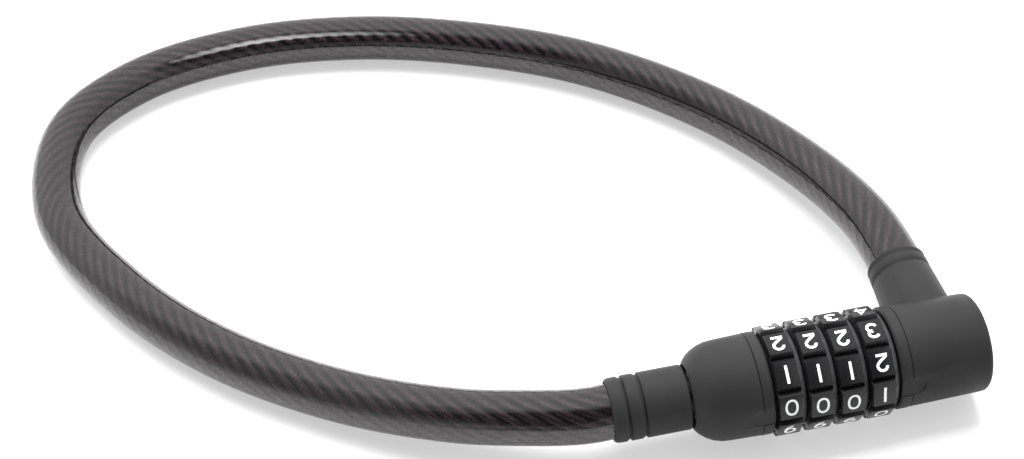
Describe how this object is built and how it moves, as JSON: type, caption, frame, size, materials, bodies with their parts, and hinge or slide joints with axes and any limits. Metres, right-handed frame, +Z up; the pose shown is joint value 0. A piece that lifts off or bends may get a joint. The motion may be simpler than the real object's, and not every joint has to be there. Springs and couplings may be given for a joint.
{
  "type": "combination cable lock",
  "caption": "Thick coated steel cable closed in a loop by a head with turning number dials; set to the code, a toothed plug pulls out of the head.",
  "frame": {"origin": "on the surface the lock lies on, under the middle of the head with its sleeves (the cable left out)", "axes": "+X along the head from the plug to the fixed end, +Y to the far side of the cable's loop, +Z up"},
  "size_m": [0.2581, 0.2016, 0.0292],
  "materials": {
    "cover": "soft dark grey moulding, fine matt grain",
    "number_plastic": "black dial with white numbers on its flats",
    "clear_coat": "smoke-clear vinyl, glossy",
    "strands": "laid steel strands, seen dark through the coat",
    "steel": "plated steel",
    "hardened_steel": "hardened steel, plain",
    "zinc": null,
    "brass": "pressed tumbler"
  },
  "bodies": {
    "head": {"barrel": "zinc", "detent_spring": "steel", "thrust_washer": "steel", "nose_collar": "zinc", "nose_collar_pin": "steel", "nose_cover": "cover", "elbow_cover": "cover", "fixed_crimp": "steel", "fixed_crimp_pin": "steel", "cable_core": "strands", "cable_jacket": "clear_coat"},
    "plug": {"plug_pin": "hardened_steel", "plug_crimp": "steel", "plug_crimp_pin": "steel", "plug_sleeve": "cover"},
    "dial_1": {"dial_ring_1": "number_plastic", "tumbler_1": "brass"},
    "dial_2": {"dial_ring_2": "number_plastic", "tumbler_2": "brass"},
    "dial_3": {"dial_ring_3": "number_plastic", "tumbler_3": "brass"},
    "dial_4": {"dial_ring_4": "number_plastic", "tumbler_4": "brass"}
  },
  "joints": [
    {"name": "plug_slide", "type": "slide", "parent": "head", "child": "plug", "axis": [-1, 0, 0], "range_m": [0, 0.057], "deforming": ["cable_core", "cable_jacket"]},
    {"name": "dial_1_spin", "type": "hinge", "parent": "head", "child": "dial_1", "pos_m": [0, -0.0079, 0.01462], "axis": [1, 0, 0], "continuous": true, "deforming": ["detent_spring"]},
    {"name": "dial_2_spin", "type": "hinge", "parent": "head", "child": "dial_2", "pos_m": [0, -0.0079, 0.01462], "axis": [1, 0, 0], "continuous": true, "deforming": ["detent_spring"]},
    {"name": "dial_3_spin", "type": "hinge", "parent": "head", "child": "dial_3", "pos_m": [0, -0.0079, 0.01462], "axis": [1, 0, 0], "continuous": true, "deforming": ["detent_spring"]},
    {"name": "dial_4_spin", "type": "hinge", "parent": "head", "child": "dial_4", "pos_m": [0, -0.0079, 0.01462], "axis": [1, 0, 0], "continuous": true, "deforming": ["detent_spring"]}
  ]
}
